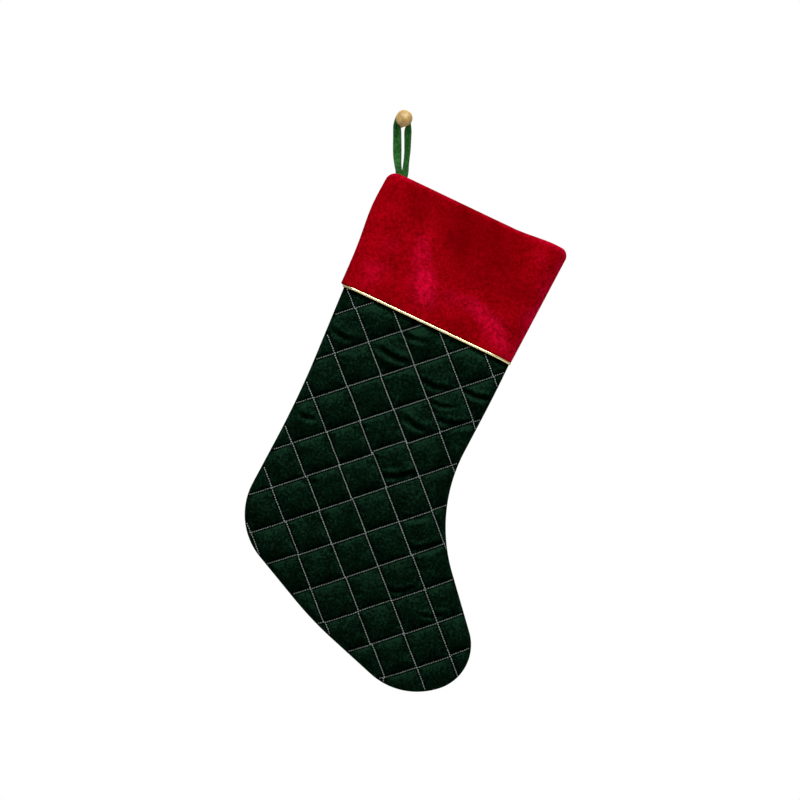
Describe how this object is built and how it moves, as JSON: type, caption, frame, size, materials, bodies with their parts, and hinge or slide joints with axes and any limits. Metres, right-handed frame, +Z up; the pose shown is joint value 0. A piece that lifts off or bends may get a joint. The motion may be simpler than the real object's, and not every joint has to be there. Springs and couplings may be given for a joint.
{
  "type": "hanging stocking",
  "caption": "Quilted velvet stocking with a plain turned-down cuff and metallic piping, hanging by a strap loop from a turned wooden peg.",
  "frame": {"origin": "on the peg's axis, at the shoulder's back face, where the peg meets the wall's surface", "axes": "+X to the right (the toe side) as seen from the room, +Y along the peg's axis into the wall, +Z up"},
  "size_m": [0.3404, 0.062, 0.6127],
  "materials": {
    "turned_wood": "clear satin",
    "green_velvet": "short pile velvet",
    "green_thread": "spun thread",
    "red_velvet": "short pile velvet",
    "red_facing": "plain weave",
    "gold_foil": "metallic foil yarn",
    "cotton_cord": "twisted cotton",
    "white_batting": "polyester wadding",
    "white_backing": "non-woven",
    "green_lining": "satin weave",
    "silver_thread": "metallic thread"
  },
  "bodies": {
    "peg": {"wooden_peg": "turned_wood"},
    "loop": {"hanging_loop": "green_velvet"},
    "stocking": {"loop_tail": "green_velvet", "loop_bar_tack": "green_thread", "cuff_front": "red_velvet", "cuff_back": "red_velvet", "cuff_facing_front": "red_facing", "cuff_facing_back": "red_facing", "piping_cover": "gold_foil", "piping_core": "cotton_cord", "leg_front_velvet": "green_velvet", "leg_back_velvet": "green_velvet", "leg_front_batting": "white_batting", "leg_back_batting": "white_batting", "leg_front_backing": "white_backing", "leg_back_backing": "white_backing", "lining_front": "green_lining", "lining_back": "green_lining", "quilting_thread_front": "silver_thread", "quilting_thread_back": "silver_thread"}
  },
  "joints": [
    {"name": "loop_swing", "type": "hinge", "parent": "peg", "child": "loop", "pos_m": [0, -0.02, 0], "axis": [0, 1, 0], "range_deg": [-40, 40]},
    {"name": "stocking_tilt", "type": "hinge", "parent": "loop", "child": "stocking", "pos_m": [0, -0.02, -0.067], "axis": [0, 1, 0], "range_deg": [-40, 25]}
  ]
}
